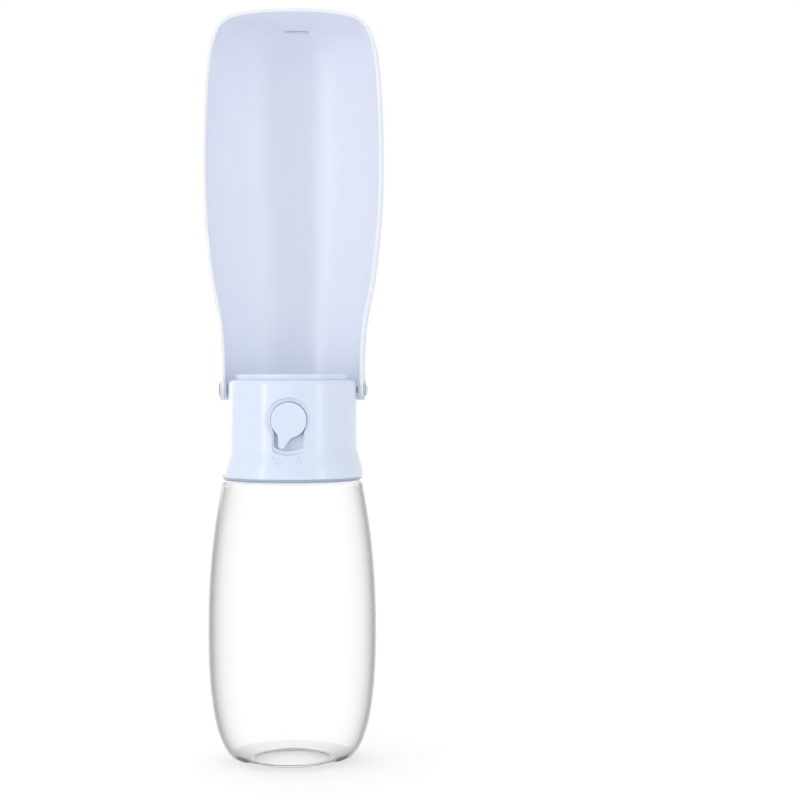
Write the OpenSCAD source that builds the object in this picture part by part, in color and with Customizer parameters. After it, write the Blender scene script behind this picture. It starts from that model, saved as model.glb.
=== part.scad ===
// Travel water bottle for a dog, with a folding drinking trough.
// Standing open: clear bottle below, white head in the middle, trough standing up behind.
// +Z is up, the button looks along -Y, and the origin is the middle of the bottle's foot.

/* [Bottle] */
// Height of the clear body, from the table to the top of its shoulder
body_h = 128.2; // [120:0.1:136]
// Widest radius of the clear body
belly_r = 38.4; // [37:0.1:40]
// Height at which the clear body is widest
belly_z = 61; // [55:0.5:68]
// Radius of the clear body at its shoulder
shoulder_r = 32; // [30.5:0.1:33]
// Rounding of the shoulder's edge
shoulder_round = 1.5; // [0.8:0.1:2.5]
// Outer radius of the ring that the bottle stands on
foot_r = 19.5; // [17:0.1:21]
// Width of the ring that the bottle stands on
foot_w = 2; // [1.5:0.1:3]
// Height of the arch under the bottle
arch_h = 3.4; // [2:0.1:5]
// Wall of the clear body
bottle_wall = 1.6; // [1.2:0.1:2]

/* [Neck and thread] */
// Distance of the neck's outside in from the head casing's
neck_step = 7.4; // [6.9:0.1:8.4]
// Wall of the neck
neck_wall = 2; // [1.6:0.1:2.6]
// Height of the neck above the shoulder
neck_h = 9.5; // [9:0.1:9.8]
// Rise of the thread in one turn
thread_pitch = 3; // [2.9:0.05:3.2]
// Height of a thread ridge above its wall
thread_depth = 1.3; // [1:0.1:1.4]
// Width of a thread ridge at its root
thread_w = 1.2; // [1:0.05:1.35]
// Room between a ridge and the wall opposite
thread_gap = 0.4; // [0.3:0.05:0.6]
// Turn over which each ridge runs, in degrees
thread_run = 300; // [280:5:320]
// Height of the ridge's start above the shoulder
thread_start = 2.6; // [2.4:0.1:3]
// Thickness of the neck gasket
gasket_t = 1.8; // [1.5:0.1:2]

/* [Head casing] */
// Height of the head casing
head_h = 44.4; // [43.5:0.1:46]
// Radius of the casing over most of its height
head_r = 29.4; // [29:0.1:30]
// How far the flared lower edge stands out from the casing
flare_out = 3; // [2.4:0.1:3.4]
// Height of the flare
flare_h = 15; // [12:0.5:17]
// Wall of the casing
head_wall = 2; // [1.6:0.1:2.4]
// Rounding of the casing's top edge
head_round = 2.3; // [1.5:0.1:2.8]
// Thickness of the collar's flange, the band below the casing
flange_t = 1.5; // [1:0.1:2]
// Thickness of the deck that closes the bottle
deck_t = 1.8; // [1.5:0.1:2]

/* [End plate] */
// Distance of the raised rim in from the casing's outside
rim_step = 3.2; // [2.8:0.1:3.6]
// Height of the raised rim
rim_h = 2.5; // [2:0.1:3.5]
// Width of the raised rim
rim_w = 2; // [1.6:0.1:2.4]
// Distance of the casing's opening under the rim in from its outside
mouth_step = 4.9; // [4.6:0.05:5.1]
// Depth of the skirt that plugs into the casing
skirt_h = 3.2; // [2.8:0.1:3.8]

/* [Button] */
// Distance of the button's axis below the casing's top
button_drop = 18; // [17.5:0.1:18.5]
// Radius of the round button
button_r = 8; // [7.6:0.1:8.3]
// Thickness of the button's face
button_t = 2; // [1.6:0.1:2.4]
// Reach of the pointer from the button's axis
pointer_reach = 13.3; // [12.5:0.1:13.8]
// Rounding of the pointer's tip
pointer_tip_r = 1.5; // [1.2:0.1:1.8]
// Thickness of the pointer
pointer_t = 1.2; // [1:0.1:1.4]
// Angle of the pointer from straight down when unlocked
unlock_angle = 15; // [12:1:16]
// Travel of the button when pressed
press = 3; // [2.5:0.1:3.2]
// Radius of the shallow recess round the button
recess_r = 10; // [9.5:0.1:10.5]
// Reach of the recess that the pointer sweeps
sweep_reach = 15.7; // [15.2:0.1:16.2]
// Half width of the recess that the pointer sweeps
sweep_half = 7.3; // [7:0.1:7.8]
// Depth of the shallow recess at its deepest
recess_depth = 1.7; // [1.4:0.1:2]

/* [Valve] */
// Outer radius of the valve tube
valve_r = 8; // [7.8:0.1:8.2]
// Radius of the valve tube's rear chamber
chamber_r = 6.3; // [6.1:0.1:6.5]
// Radius of the opening that the stopper closes
seat_r = 3.6; // [3.2:0.1:4]
// Radius of the stopper
stopper_r = 5; // [4.8:0.1:5.4]
// Thickness of the stopper
stopper_t = 2.5; // [2:0.1:3]
// Radius of the stem
stem_r = 2.2; // [2:0.05:2.4]
// Radius of the water way from the bottle
inlet_r = 3.5; // [3:0.1:3.8]
// Radius of the water way to the trough
outlet_r = 2.8; // [2.4:0.1:3]
// Mean radius of the spring's coils
spring_r = 3.9; // [3.6:0.1:4.2]
// Wire of the spring
spring_wire = 0.7; // [0.5:0.05:0.9]
// Number of coils
spring_coils = 5; // [4:1:6]
// Length of the spring as fitted
spring_len = 10.2; // [9.5:0.1:11]
// Radius of the four screws
screw_r = 1.1; // [1:0.05:1.2]

/* [Hinge and trough] */
// Distance of the hinge axis below the casing's top
pin_drop = 4.8; // [4.6:0.1:5.2]
// Distance of the hinge axis behind the bottle's axis
pin_y = 2.85; // [2:0.05:3.5]
// Radius of the hinge pins
pin_r = 1.6; // [1.4:0.05:1.7]
// Room between a pin and its bore
pin_fit = 0.08; // [0.05:0.01:0.1]
// Radius of a pin's domed head
dome_r = 3.35; // [3.1:0.05:3.6]
// Height of a pin's domed head
dome_h = 1.1; // [0.9:0.1:1.4]
// Thickness of the trough's ears
ear_t = 3.3; // [3:0.1:3.6]
// Wall of the trough
trough_wall = 1.6; // [1.4:0.1:1.8]
// Gap between the head and the trough's ears
ear_gap = 0.8; // [0.6:0.05:1]
// Reach of the trough's ears past the hinge axis
ear_reach = 4.7; // [4.5:0.1:5]
// Reach of the folded trough behind the bottle's axis
rim_back = 8.2; // [8:0.1:8.6]
// Gap between the bottle's belly and the folded trough
belly_gap = 2; // [1.6:0.1:2.6]
// Length of the small rib inside the trough's end
rib_len = 10.6; // [8:0.1:14]
// Height of the small rib inside the trough's end
rib_h = 0.6; // [0.4:0.05:0.8]
// Gap between the bottle's foot and the folded trough's end, at the middle
end_gap = 4.2; // [4:0.1:5]

/* [Lanyard loop] */
// Distance of the loop's hole below the casing's top
loop_drop = 21.5; // [20:0.5:23]
// Radius of the loop's hole
loop_hole_r = 1.5; // [1.3:0.1:1.7]
// Outer radius of the loop
loop_r = 3.6; // [3.3:0.1:3.9]
// Thickness of the loop
loop_t = 3; // [2.5:0.1:4]

/* [Hidden] */
$fn = 96;

// Clearances: between pieces that move apart, that slide on each other, and that are pressed together
free_gap = 0.3;
slide_gap = 0.05;
press_gap = 0.02;
eps = 0.01;
far = 100;

// Heights, worked out from the table upwards
flange_z = body_h + free_gap;
head_z = flange_z + flange_t;
head_top = head_z + head_h;
lip_z = body_h + neck_h;
deck_z = lip_z + gasket_t;
deck_top = deck_z + deck_t;
pin_z = head_top - pin_drop;
button_z = head_top - button_drop;
loop_z = head_top - loop_drop;

// Radii of the casing's opening and of the rim over it
mouth_r = head_r - mouth_step;
rim_r = head_r - rim_step;

// Inner end of the hinge pins and of their bosses, and the axis of the lanyard loop
boss_floor = 0.8;
boss_wall = 2.4;
boss_end = mouth_r + free_gap;
pin_end = boss_end + boss_floor - 0.2;
loop_y = head_r + loop_hole_r + free_gap;

// Radii, from the neck outwards
neck_r = head_r - neck_step;
neck_in_r = neck_r - neck_wall;
collar_wall = 2.1;
collar_bore_r = neck_r + thread_depth + thread_gap;
collar_r = collar_bore_r + collar_wall;
flare_r = head_r + flare_out;
flange_step = 0.5;
flange_r = flare_r - flange_step;
flange_chamfer = 0.8;
// How deep a thread ridge is rooted in its wall
ridge_root = 0.4;

// Padlock marks: size, line and height of the raised lines, and where they stand
mark_side = 2.6;
mark_line = 0.4;
mark_proud = 0.2;
shackle_r = 1.05;
shackle_up = 1.2;
shackle_swing = 1.9;
mark_x = 4.7;
mark_z = head_z + 8;

// Places along the valve, from the button at the front to the cap at the rear
face_sink = 0.2;
face_y = -head_r + face_sink;
face_back = face_y + button_t;
pointer_half = 3.2;
hub_r = 4.2;
hub_len = 6.2;
hub_end = face_back + hub_len;
hub_skin = 0.3;
// Snap bead in the hub, and the stem's groove for it
bead_w = 0.6;
bead_proud = 0.3;
bead_y = hub_end - 1.9;
bead_room = 0.3;
well_r = button_r + free_gap + slide_gap;
well_room = 0.4;
well_floor = face_back + press + well_room;
well_t = 1.6;
pocket_floor = face_y + pointer_t + press + free_gap;
pocket_step = 0.7;
pocket_half = sweep_half - pocket_step;
pocket_room = 0.4;
pocket_reach = pointer_reach + pocket_room;
recess_floor = -head_r + recess_depth;
recess_skin = 1;
valve_room = 0.5;
valve_front = hub_end + press + valve_room;
gland_wall = 2.2;
gland_r = stem_r + gland_wall;
retainer_t = 1.5;
seal_t = 2;
seal_room = 0.1;
gland_floor = valve_front + retainer_t + seal_t + seal_room;
gland_t = 1.9;
outlet_floor = gland_floor + gland_t;
outlet_chamber_step = 1.1;
outlet_chamber_r = chamber_r - outlet_chamber_step;
outlet_chamber_len = 12;
seat_y = outlet_floor + outlet_chamber_len;
seat_t = 2.5;
outlet_y = (outlet_floor + seat_y - seat_t) / 2;
inlet_back = 8;
inlet_y = seat_y + inlet_back;
inlet_wall = 2.7;
washer_t = 0.8;
washer_step = 1.2;
spring_y = seat_y + stopper_t + washer_t;
cap_y = spring_y + spring_len;
cap_plug = 4.5;
cap_flange_t = 1.8;
coin_len = 10;
coin_w = 1.6;
valve_rear = cap_y + cap_plug;
stopper_hole_r = 1.5;

// Screw in the stem's end: core, length in the stem, and head
pilot_r = 0.75;
pilot_room = 0.1;
pilot_len = 3;
pilot_head_r = 1.9;
pilot_head_h = 1.4;

// Feet and posts that carry the valve, and their screws
foot_overlap = 2.6;
post_top = button_z - valve_r + foot_overlap;
foot_t = 2;
post_r = 3;
post_x = 13;
post_front = seat_y - 8;
post_rear = seat_y + 12;
screw_len = 6.4;
screw_room = 0.15;
screw_head_r = 2.2;
screw_head_h = 1.5;
// Slot across a screw's head
slot_w = 0.5;
slot_deep = 0.8;

// Top end of the outlet, under the end plate
floor_t = 1.6;
floor_drop = 1;
floor_z = head_top - floor_drop;
outlet_seal_t = 1.6;
outlet_top = floor_z - outlet_seal_t;
outlet_wall = 1.6;
outlet_tube_r = outlet_r + outlet_wall;
seal_hole_room = 0.1;
// Socket round the outlet tube, under the end plate
socket_room = 0.1;
socket_wall = 1.6;
socket_len = 3.4;

// Grooves for the seals: distance from the edge, width and depth
skirt_room = 0.2;
skirt_wall = 1.5;
skirt_groove = [0.8, 1.2, 0.8];
cap_groove = [1.3, 1.6, 1.5];
inlet_groove = [0.5, 1.6, 1.2];

// Trough, drawn folded down in front of the bottle and then swung up
trough_belly_r = belly_r + belly_gap + trough_wall;
trough_len = pin_z + end_gap + trough_wall;
ear_in = head_r + ear_gap;
hinge_r = ear_in + ear_t;
pad_r = ear_reach;
slot_in_r = pin_r + pin_fit + 0.5;
nub_r = 0.6;
nub_at = slot_in_r + free_gap + nub_r;
slot_out_r = nub_at + nub_r + free_gap;
slot_depth = 1.1;
nub_reach = ear_in + slot_depth - free_gap;
nub_root = 1.2;
ear_bevel = 1.2;
rib_sink = 0.2;
trough_end = pin_z - trough_len;

white = [0.9, 0.93, 0.99];
clear = [0.85, 0.92, 0.97, 0.35];
rubber = [0.82, 0.84, 0.86];
plastic = [0.8, 0.83, 0.88];
steel = [0.72, 0.73, 0.75];

// A smooth curve through a few points, n steps between each pair
function curve(p, n) = [
    for (i = [0:len(p) - 2], k = [0:n - 1])
        let (t = k / n,
             a = p[max(i - 1, 0)], b = p[i], c = p[i + 1], d = p[min(i + 2, len(p) - 1)])
        (2 * b + (c - a) * t + (2 * a - 5 * b + 4 * c - d) * t * t
            + (3 * b - a - 3 * c + d) * t * t * t) / 2,
    p[len(p) - 1]
];

// The same path moved to its left by t, for the inner side of a wall
function inset(p, t) = [
    for (i = [0:len(p) - 1])
        let (d = p[min(i + 1, len(p) - 1)] - p[max(i - 1, 0)])
        [max(p[i][0] - t * d[1] / norm(d), 0), p[i][1] + t * d[0] / norm(d)]
];

function reversed(p) = [for (i = [len(p) - 1:-1:0]) p[i]];

// A round edge in n steps about the centre c, from angle a to angle b
function arc(c, r, a, b, n) = [for (i = [0:n]) c + r * [cos(a + (b - a) * i / n), sin(a + (b - a) * i / n)]];

// Smooth step from 0 to 1
function ease(t) = let (u = min(max(t, 0), 1)) u * u * (3 - 2 * u);

// Outline of the clear body: arch, foot, round heel up to the belly, then the taper to the shoulder
foot_in_r = foot_r - foot_w;
body_outline = concat(
    [for (i = [0:7]) let (r = foot_in_r * i / 8) [r, arch_h * (1 - pow(r / foot_in_r, 2))]],
    [[foot_in_r, 0]],
    [for (i = [0:22]) let (z = belly_z * pow(i / 22, 2))
        [foot_r + (belly_r - foot_r) * pow(1 - pow(1 - z / belly_z, 2.45), 1 / 2.9), z]],
    [for (i = [1:13]) let (t = i / 14)
        [belly_r - (belly_r - shoulder_r) * pow(t, 2.1), belly_z + (body_h - shoulder_round - belly_z) * t]]
);

// Outline of the trough as folded: along the head, out to the belly, in to the rounded end
trough_grow = trough_belly_r - hinge_r;
trough_outline = curve(concat(
    [[hinge_r, pin_z + ear_reach]],
    [for (q = [[0, 0.0912], [0.15, 0.1824], [0.55, 0.285], [0.91, 0.4447], [1, 0.593]])
        [hinge_r + q[0] * trough_grow, pin_z - q[1] * trough_len]],
    [for (q = [[0.012, 1.095], [0.0405, 0.667], [0.0786, 0.405], [0.143, 0.219], [0.2286, 0.1167],
            [0.369, 0.0548], [0.643, 0.0143]])
        [trough_belly_r * (1 - q[0]), trough_end + trough_belly_r * q[1]]],
    [[0, trough_end]]
), 5);

// Outline of the head casing, grown by g
function casing_outline(g) = concat(
    [[flare_r + g, head_z]],
    [for (i = [0:12]) let (t = i / 12)
        [head_r + g + flare_out * ease(1 - t), head_z + 1 + (flare_h - 1) * t]],
    arc([head_r - head_round, head_top - head_round], head_round + g, 0, 90, 8)
);

// A thread ridge: a blunt wedge carried up a helix, from angle a to angle b
module ridge(root_r, crest_r, z0, a, b) {
    n = ceil((b - a) / 10);
    section = [[root_r, -thread_w / 2], [crest_r, -0.3 * thread_w], [crest_r, 0.3 * thread_w],
        [root_r, thread_w / 2]];
    points = [for (i = [0:n], q = section)
        let (u = a + (b - a) * i / n)
        [q[0] * cos(u), q[0] * sin(u), z0 + q[1] + thread_pitch * u / 360]];
    sides = [for (i = [0:n - 1], k = [0:3])
        let (m = (k + 1) % 4, c = 4 * i)
        each [[c + k, c + m, c + 4 + m], [c + k, c + 4 + m, c + 4 + k]]];
    ends = [[2, 1, 0], [3, 2, 0], [4 * n, 4 * n + 1, 4 * n + 2], [4 * n, 4 * n + 2, 4 * n + 3]];
    // An outward wedge and an inward wedge turn opposite ways round their edge
    turned = crest_r > root_r ? concat(sides, ends) : [for (f = concat(sides, ends)) reversed(f)];
    polyhedron(points, turned);
}

// A ring of round section about the Y axis or, turned up, about the Z axis
module o_ring(r, section_r) {
    rotate_extrude() translate([r, 0]) circle(section_r, $fn = 32);
}

// A cylinder along Y from y0 to y1, at the button's height
module along(y0, y1, r) {
    translate([0, y1, button_z]) rotate([90, 0, 0]) cylinder(h = y1 - y0, r = r);
}

// A flat shape facing the front, from y0 to y1; its own Y is height above the button's axis
module facing(y0, y1) {
    translate([0, y1, button_z]) rotate([90, 0, 0]) linear_extrude(y1 - y0) children();
}

module bottle() {
    inner = inset(body_outline, bottle_wall);
    color(clear) {
        rotate_extrude() polygon(concat(
            body_outline,
            arc([shoulder_r - shoulder_round, body_h - shoulder_round], shoulder_round, 0, 90, 5),
            [[neck_r, body_h], [neck_r, lip_z], [neck_in_r, lip_z],
                [neck_in_r, body_h - bottle_wall],
                [shoulder_r - bottle_wall - shoulder_round, body_h - bottle_wall]],
            reversed(inner)
        ));
        ridge(neck_r - ridge_root, neck_r + thread_depth, body_h + thread_start, 0, thread_run);
    }
}

module neck_gasket() {
    color(rubber) translate([0, 0, lip_z]) difference() {
        cylinder(h = gasket_t, r = collar_bore_r - free_gap);
        translate([0, 0, -eps]) cylinder(h = gasket_t + 2 * eps, r = neck_in_r + 0.2);
    }
}

// The space that the pointer sweeps: straight sides and a round lower end
module sweep(half, reach) {
    intersection() {
        translate([-half, -reach]) square([2 * half, reach]);
        circle(reach);
    }
}

// A padlock mark drawn as thin lines; the shackle of an open one is swung to the side
module padlock(open) {
    difference() {
        square(mark_side, center = true);
        square(mark_side - 2 * mark_line, center = true);
    }
    translate([open ? -shackle_swing : 0, shackle_up]) difference() {
        circle(shackle_r);
        circle(shackle_r - mark_line);
        translate([-far, -2 * far]) square(2 * far);
    }
}

module head_shell() {
    color(white) difference() {
        union() {
            rotate_extrude() polygon(concat(
                casing_outline(0),
                [[mouth_r, head_top], [mouth_r, head_top - head_wall],
                    [head_r - head_wall, head_top - head_wall]],
                reversed([for (i = [0:12]) let (t = i / 12)
                    [head_r - head_wall + flare_out * ease(1 - t), head_z + 1 + (flare_h - 1) * t]]),
                [[flare_r - head_wall, head_z]]
            ));
            // Walls behind the recess, the pointer's pocket and the button's well
            intersection() {
                union() {
                    facing(-head_r, recess_floor + recess_skin) {
                        circle(recess_r + recess_skin);
                        sweep(sweep_half + pocket_room, sweep_reach + pocket_room);
                    }
                    facing(-head_r, pocket_floor + recess_skin)
                        sweep(pocket_half + recess_skin, pocket_reach + recess_skin);
                    facing(-head_r, well_floor + well_t) circle(well_r + recess_skin + 0.2);
                }
                translate([0, 0, head_z]) cylinder(h = head_h, r = head_r - eps);
            }
            for (side = [-1, 1])
                hinge_boss(side);
            // The lanyard loop on the back wall
            translate([-loop_t / 2, loop_y, loop_z]) rotate([0, 90, 0]) cylinder(h = loop_t, r = loop_r);
            intersection() {
                marks();
                rotate_extrude() polygon(concat(
                    casing_outline(mark_proud), [[0, head_top + mark_proud], [0, head_z]]));
            }
        }
        facing(-far, recess_floor) {
            circle(recess_r);
            sweep(sweep_half, sweep_reach);
        }
        facing(-far, pocket_floor) sweep(pocket_half, pocket_reach);
        facing(-far, well_floor) circle(well_r);
        along(well_floor - 1, 0, hub_r + free_gap);
        translate([-loop_t, loop_y, loop_z]) rotate([0, 90, 0]) cylinder(h = 2 * loop_t, r = loop_hole_r);
        for (side = [-1, 1])
            translate([side * (pin_end - 0.2), pin_y, pin_z]) rotate([0, side * 90, 0])
                cylinder(h = far, r = pin_r + press_gap);
    }
}

// Thin raised padlock marks, open on the left and closed on the right
module marks() {
    facing(-head_r - flare_out - 1, -head_r - mark_proud / 2) {
        translate([-mark_x, mark_z - button_z]) padlock(true);
        translate([mark_x, mark_z - button_z]) padlock(false);
    }
}

// Inside boss that holds a hinge pin, and the nub that stops the trough in its ear's slot
module hinge_boss(side) {
    translate([side * boss_end, pin_y, pin_z]) rotate([0, side * 90, 0])
        cylinder(h = head_r - head_wall / 4 - boss_end, r = pin_r + boss_wall);
    translate([side * (head_r - nub_root), pin_y, pin_z - nub_at]) rotate([0, side * 90, 0])
        cylinder(h = nub_reach - head_r + nub_root, r = nub_r);
}

module thread_collar() {
    color(plastic) difference() {
        union() {
            rotate_extrude() polygon([
                [collar_bore_r, flange_z], [flange_r - flange_chamfer, flange_z],
                [flange_r, flange_z + flange_chamfer],
                [flange_r, head_z], [collar_r, head_z], [collar_r, deck_top], [0, deck_top], [0, deck_z],
                [collar_bore_r, deck_z]
            ]);
            for (x = [-post_x, post_x], y = [post_front, post_rear])
                translate([x, y, deck_top - eps]) cylinder(h = post_top - deck_top + eps, r = post_r);
            ridge(collar_bore_r + ridge_root, collar_bore_r - thread_depth,
                body_h + thread_start - thread_pitch / 2, 360 - thread_run, 360);
        }
        for (x = [-post_x, post_x], y = [post_front, post_rear])
            translate([x, y, post_top + foot_t - screw_len]) cylinder(h = far, r = screw_r + press_gap);
        translate([0, inlet_y, deck_z - 1]) cylinder(h = deck_t + 2, r = inlet_r);
    }
}

module end_plate() {
    skirt_r = mouth_r - skirt_room;
    skirt_z = head_top - skirt_h;
    plate_top = floor_z + floor_t;
    color(white) difference() {
        union() {
            rotate_extrude() polygon([
                [0, floor_z], [skirt_r - skirt_wall, floor_z], [skirt_r - skirt_wall, skirt_z],
                [skirt_r, skirt_z],
                [skirt_r, head_top], [rim_r, head_top], [rim_r - 0.2, head_top + rim_h - 0.5],
                [rim_r - 0.6, head_top + rim_h], [rim_r - rim_w + 0.4, head_top + rim_h],
                [rim_r - rim_w, head_top + rim_h - 0.4], [rim_r - rim_w, plate_top + 0.8],
                [rim_r - rim_w - 0.8, plate_top], [0, plate_top]
            ]);
            translate([0, outlet_y, outlet_top - socket_len])
                cylinder(h = floor_z - outlet_top + socket_len + eps,
                    r = outlet_tube_r + socket_room + socket_wall);
        }
        translate([0, outlet_y, floor_z - far]) cylinder(h = far, r = outlet_tube_r + socket_room);
        translate([0, outlet_y, floor_z - 1]) cylinder(h = far, r = outlet_r);
        // Groove for the seal in the skirt
        translate([0, 0, skirt_z + skirt_groove[0]]) difference() {
            cylinder(h = skirt_groove[1], r = skirt_r + 1);
            translate([0, 0, -1]) cylinder(h = skirt_groove[1] + 2, r = skirt_r - skirt_groove[2]);
        }
    }
}

module end_plate_seal() {
    section_r = (skirt_room + skirt_groove[2]) / 2 - 0.04;
    color(rubber) translate([0, 0, head_top - skirt_h + skirt_groove[0] + skirt_groove[1] / 2])
        o_ring(mouth_r - section_r - 0.04, section_r);
}

module valve_body() {
    color(plastic) difference() {
        union() {
            along(valve_front, valve_rear, valve_r);
            translate([0, inlet_y, deck_top]) cylinder(h = button_z - deck_top, r = inlet_r + inlet_wall);
            translate([0, outlet_y, button_z]) cylinder(h = outlet_top - button_z, r = outlet_tube_r);
            // Two feet across, each with a screw hole at either end
            for (y = [post_front, post_rear])
                translate([-post_x - post_r, y - post_r, post_top])
                    cube([2 * (post_x + post_r), 2 * post_r, foot_t]);
        }
        along(valve_front - 1, gland_floor, gland_r);
        along(gland_floor - 1, outlet_floor + 1, stem_r + seal_room);
        along(outlet_floor, seat_y - seat_t, outlet_chamber_r);
        along(seat_y - seat_t - 1, seat_y + 1, seat_r);
        along(seat_y, valve_rear + 1, chamber_r);
        translate([0, inlet_y, deck_top - 1]) cylinder(h = button_z - deck_top + 1, r = inlet_r);
        translate([0, outlet_y, button_z]) cylinder(h = far, r = outlet_r);
        // Groove for the seal on the deck
        translate([0, inlet_y, deck_top - 1]) difference() {
            cylinder(h = inlet_groove[2] + 1, r = inlet_r + inlet_groove[0] + inlet_groove[1]);
            translate([0, 0, -1]) cylinder(h = far, r = inlet_r + inlet_groove[0]);
        }
        for (x = [-post_x, post_x], y = [post_front, post_rear])
            translate([x, y, post_top - 1]) cylinder(h = foot_t + 2, r = screw_r + screw_room);
    }
}

module inlet_seal() {
    color(rubber) translate([0, inlet_y, deck_top + inlet_groove[2] / 2])
        o_ring(inlet_r + inlet_groove[0] + inlet_groove[1] / 2, inlet_groove[2] / 2 - press_gap);
}

module outlet_seal() {
    color(rubber) translate([0, outlet_y, outlet_top]) difference() {
        cylinder(h = outlet_seal_t, r = outlet_tube_r);
        translate([0, 0, -eps]) cylinder(h = outlet_seal_t + 2 * eps, r = outlet_r + seal_hole_room);
    }
}

module stem_seal() {
    section_r = (gland_r - stem_r) / 2 - slide_gap;
    color(rubber) translate([0, gland_floor - section_r - slide_gap, button_z]) rotate([90, 0, 0])
        o_ring((gland_r + stem_r) / 2, min(section_r, seal_t / 2));
}

module seal_retainer() {
    color(plastic) difference() {
        along(valve_front, valve_front + retainer_t, gland_r - press_gap);
        along(valve_front - 1, valve_front + retainer_t + 1, stem_r + free_gap);
    }
}

// Stem: front end in the button's hub, shoulder for the stopper, pilot hole for the screw
module valve_stem() {
    color(plastic) difference() {
        union() {
            along(face_back + hub_skin + seal_room, seat_y, stem_r);
            along(seat_y - eps, seat_y + stopper_t, stopper_hole_r - press_gap);
        }
        along(seat_y - pilot_len - 1, seat_y + stopper_t + 1, pilot_r + press_gap);
        // Groove for the button's snap bead
        difference() {
            along(bead_y - bead_room, bead_y + bead_w + bead_room, stem_r + 1);
            along(bead_y - 1, hub_end, stem_r - bead_proud - 0.1);
        }
    }
}

module valve_stopper() {
    color(rubber) difference() {
        along(seat_y, seat_y + stopper_t, stopper_r);
        along(seat_y - 1, seat_y + stopper_t + 1, stopper_hole_r);
    }
}

module spring_seat() {
    color(steel) difference() {
        along(seat_y + stopper_t, spring_y, spring_r + washer_step);
        along(seat_y + stopper_t - 1, spring_y + 1, pilot_r + pilot_room);
    }
}

module stopper_screw() {
    color(steel) {
        along(seat_y - pilot_len, spring_y + eps, pilot_r);
        difference() {
            along(spring_y, spring_y + pilot_head_h, pilot_head_r);
            translate([-far / 2, spring_y + slot_deep, button_z - slot_w / 2]) cube([far, far, slot_w]);
        }
    }
}

// Spring: one round wire carried along a helix about the valve's axis
module valve_spring() {
    per_turn = 16;
    sides = 6;
    n = spring_coils * per_turn;
    y0 = spring_y + spring_wire / 2 + 0.02;
    rise = spring_len - spring_wire - 0.04;
    points = [for (i = [0:n], k = [0:sides - 1])
        let (u = 360 * i / per_turn, v = 360 * k / sides, r = spring_r + spring_wire / 2 * cos(v))
        [r * cos(u), y0 + rise * i / n + spring_wire / 2 * sin(v), button_z + r * sin(u)]];
    tube = [for (i = [0:n - 1], k = [0:sides - 1])
        let (m = (k + 1) % sides, c = sides * i)
        each [[c + m, c + k, c + sides + k], [c + m, c + sides + k, c + sides + m]]];
    ends = [for (k = [1:sides - 2])
        each [[0, k, k + 1], [sides * n, sides * n + k + 1, sides * n + k]]];
    color(steel) polyhedron(points, [for (f = concat(tube, ends)) reversed(f)]);
}

module valve_end_cap() {
    color(plastic) difference() {
        union() {
            along(cap_y, valve_rear + eps, chamber_r - press_gap);
            along(valve_rear, valve_rear + cap_flange_t, valve_r);
            along(cap_y - 2, cap_y + eps, spring_r - spring_wire / 2 - 0.5);
        }
        // Groove for the seal round the plug
        difference() {
            along(cap_y + cap_groove[0], cap_y + cap_groove[0] + cap_groove[1], chamber_r + 1);
            along(cap_y, cap_y + cap_plug, chamber_r - cap_groove[2]);
        }
        // Slot for a coin, to tighten the cap
        translate([-coin_len / 2, valve_rear + slot_deep, button_z - coin_w / 2])
            cube([coin_len, far, coin_w]);
    }
}

module end_cap_seal() {
    color(rubber) translate([0, cap_y + cap_groove[0] + cap_groove[1] / 2, button_z]) rotate([90, 0, 0])
        o_ring(chamber_r - cap_groove[2] / 2, cap_groove[2] / 2 - slide_gap);
}

module valve_screws() {
    color(steel) for (x = [-post_x, post_x], y = [post_front, post_rear])
        translate([x, y, post_top + foot_t]) difference() {
            union() {
                translate([0, 0, 0.2 - screw_len]) cylinder(h = screw_len, r = screw_r);
                cylinder(h = screw_head_h, r = screw_head_r);
            }
            for (turn = [0, 90])
                rotate([0, 0, turn]) translate([-0.6 * screw_head_r, -slot_w / 2, screw_head_h - slot_deep])
                    cube([1.2 * screw_head_r, slot_w, far]);
        }
}

// Round button with its pointer, drawn pointing straight down and turned to the unlocked side
module lock_button() {
    color(white) difference() {
        union() {
            facing(face_y, face_back) circle(button_r);
            translate([0, 0, button_z]) rotate([0, unlock_angle, 0]) translate([0, 0, -button_z])
                facing(face_y, face_y + pointer_t) pointer();
            along(face_back - eps, hub_end, hub_r);
        }
        along(face_back + hub_skin, hub_end + 1, stem_r + slide_gap);
    }
    // Snap bead that holds the hub in the stem's groove
    color(white) difference() {
        along(bead_y, bead_y + bead_w, stem_r + slide_gap + bead_proud);
        along(bead_y - 1, hub_end, stem_r - bead_proud);
    }
}

module pointer() {
    tip = pointer_reach - pointer_tip_r;
    polygon([[-pointer_half, 1 - button_r], [pointer_half, 1 - button_r],
        [pointer_tip_r, -tip], [-pointer_tip_r, -tip]]);
    translate([0, -tip]) circle(pointer_tip_r);
}

// Hinge pin with a domed head; side is -1 on the left and 1 on the right
module hinge_pin(side) {
    shank = hinge_r + 0.1 - pin_end;
    ball_r = (dome_r * dome_r + dome_h * dome_h) / (2 * dome_h);
    color(white) translate([side * pin_end, pin_y, pin_z]) rotate([0, side * 90, 0]) {
        cylinder(h = shank + eps, r = pin_r);
        intersection() {
            translate([0, 0, shank + dome_h - ball_r]) sphere(ball_r);
            translate([0, 0, shank]) cylinder(h = dome_h + 1, r = dome_r);
        }
    }
}

module hinge_pin_left() {
    hinge_pin(-1);
}

module hinge_pin_right() {
    hinge_pin(1);
}

// One ear's thick pad with its pin bore and the arc slot for the nub, side -1 or 1
module ear_pad(side) {
    translate([side * ear_in, pin_y, pin_z]) rotate([0, side * 90, 0])
        cylinder(h = hinge_r - ear_in - 0.2, r = pad_r);
}

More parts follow.
